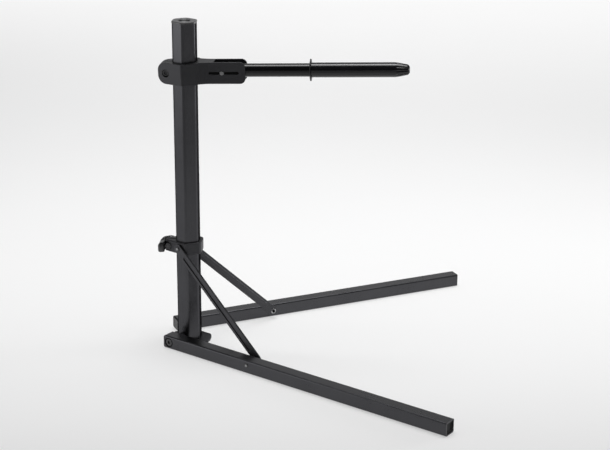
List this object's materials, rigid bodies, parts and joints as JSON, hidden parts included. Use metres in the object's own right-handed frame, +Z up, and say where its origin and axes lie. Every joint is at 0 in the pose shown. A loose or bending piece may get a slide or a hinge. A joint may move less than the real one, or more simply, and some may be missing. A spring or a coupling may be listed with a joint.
{
  "type": "bike repair stand",
  "caption": "Folding bike repair stand: a hexagonal post on splayed square legs, held up by a sleeved arm that enters a hollow crank axle.",
  "frame": {"origin": "on the post's axis, at the floor under the base plate", "axes": "+Z up along the post, +X along the arm, the right leg on the -Y side and the left leg on the +Y side"},
  "size_m": [0.3709, 0.4716, 0.4066],
  "materials": {
    "black_extrusion": "satin black anodised extrusion",
    "black_casting": "satin black coated forging",
    "black_strut": "black coated pressed steel",
    "gloss_rod": "gloss black anodised",
    "gloss_sleeve": "glossy black moulding",
    "gloss_lever": "semi-gloss black moulding",
    "black_plastic": "fine-textured black moulding",
    "black_rubber": "matt black rubber",
    "dark_steel": "black oxide steel",
    "bright_steel": "plain zinc-plated steel"
  },
  "bodies": {
    "post": {"post_tube": "black_extrusion", "top_cap": "black_plastic", "base_bracket": "black_casting", "hinge_bolts": "dark_steel", "hinge_spacers": "dark_steel", "hinge_washers": "black_plastic"},
    "slider": {"slider_collar": "black_casting", "slider_rivets": "bright_steel", "release_bolt": "dark_steel", "release_nut": "dark_steel", "lever_pin": "bright_steel"},
    "lever": {"release_lever": "gloss_lever"},
    "clamp": {"arm_clamp": "black_casting", "clamp_bolt": "dark_steel", "clamp_nut": "dark_steel", "pivot_pin": "bright_steel"},
    "arm": {"arm_rod": "gloss_rod", "stop_ring": "black_rubber", "arm_sleeve": "gloss_sleeve"},
    "right_leg": {"right_leg_tube": "black_extrusion", "right_hinge_block": "black_plastic", "right_leg_plug": "black_plastic", "right_leg_pin": "dark_steel"},
    "right_brace": {"right_strut": "black_strut", "right_strut_rivet": "bright_steel"},
    "left_leg": {"left_leg_tube": "black_extrusion", "left_hinge_block": "black_plastic", "left_leg_plug": "black_plastic", "left_leg_pin": "dark_steel"},
    "left_brace": {"left_strut": "black_strut", "left_strut_rivet": "bright_steel"}
  },
  "joints": [
    {"name": "legs_slider", "type": "slide", "parent": "post", "child": "slider", "axis": [0, 0, 1], "range_m": [0, 0.17292]},
    {"name": "right_leg_fold", "type": "hinge", "parent": "post", "child": "right_leg", "pos_m": [-0.01653, -0.02862, 0.0083], "axis": [-0.5, -0.866, 0], "range_deg": [0, 90]},
    {"name": "right_brace_swing", "type": "hinge", "parent": "slider", "child": "right_brace", "pos_m": [-0.01, -0.01651, 0.1256], "axis": [0.5, 0.866, 0], "range_deg": [0, 47.2]},
    {"name": "left_leg_fold", "type": "hinge", "parent": "post", "child": "left_leg", "pos_m": [-0.01653, 0.02862, 0.0083], "axis": [0.5, -0.866, 0], "range_deg": [0, 90]},
    {"name": "left_brace_swing", "type": "hinge", "parent": "slider", "child": "left_brace", "pos_m": [-0.01, 0.01651, 0.1256], "axis": [-0.5, 0.866, 0], "range_deg": [0, 47.2]},
    {"name": "release_lever_swing", "type": "hinge", "parent": "slider", "child": "lever", "pos_m": [-0.024, 0.0112, 0.1256], "axis": [0, 0, -1], "range_deg": [0, 90]},
    {"name": "arm_height", "type": "slide", "parent": "post", "child": "clamp", "axis": [0, 0, 1], "range_m": [-0.015, 0.044]},
    {"name": "arm_fold", "type": "hinge", "parent": "clamp", "child": "arm", "pos_m": [0.04557, 0, 0.34649], "axis": [0, 1, 0], "range_deg": [0, 92]}
  ],
  "couplings": [
    {"joint": "right_leg_fold", "follows": "legs_slider", "rad_per_m": 9.0841},
    {"joint": "right_brace_swing", "follows": "legs_slider", "rad_per_m": 4.7638},
    {"joint": "left_leg_fold", "follows": "legs_slider", "rad_per_m": 9.0841},
    {"joint": "left_brace_swing", "follows": "legs_slider", "rad_per_m": 4.7638}
  ]
}
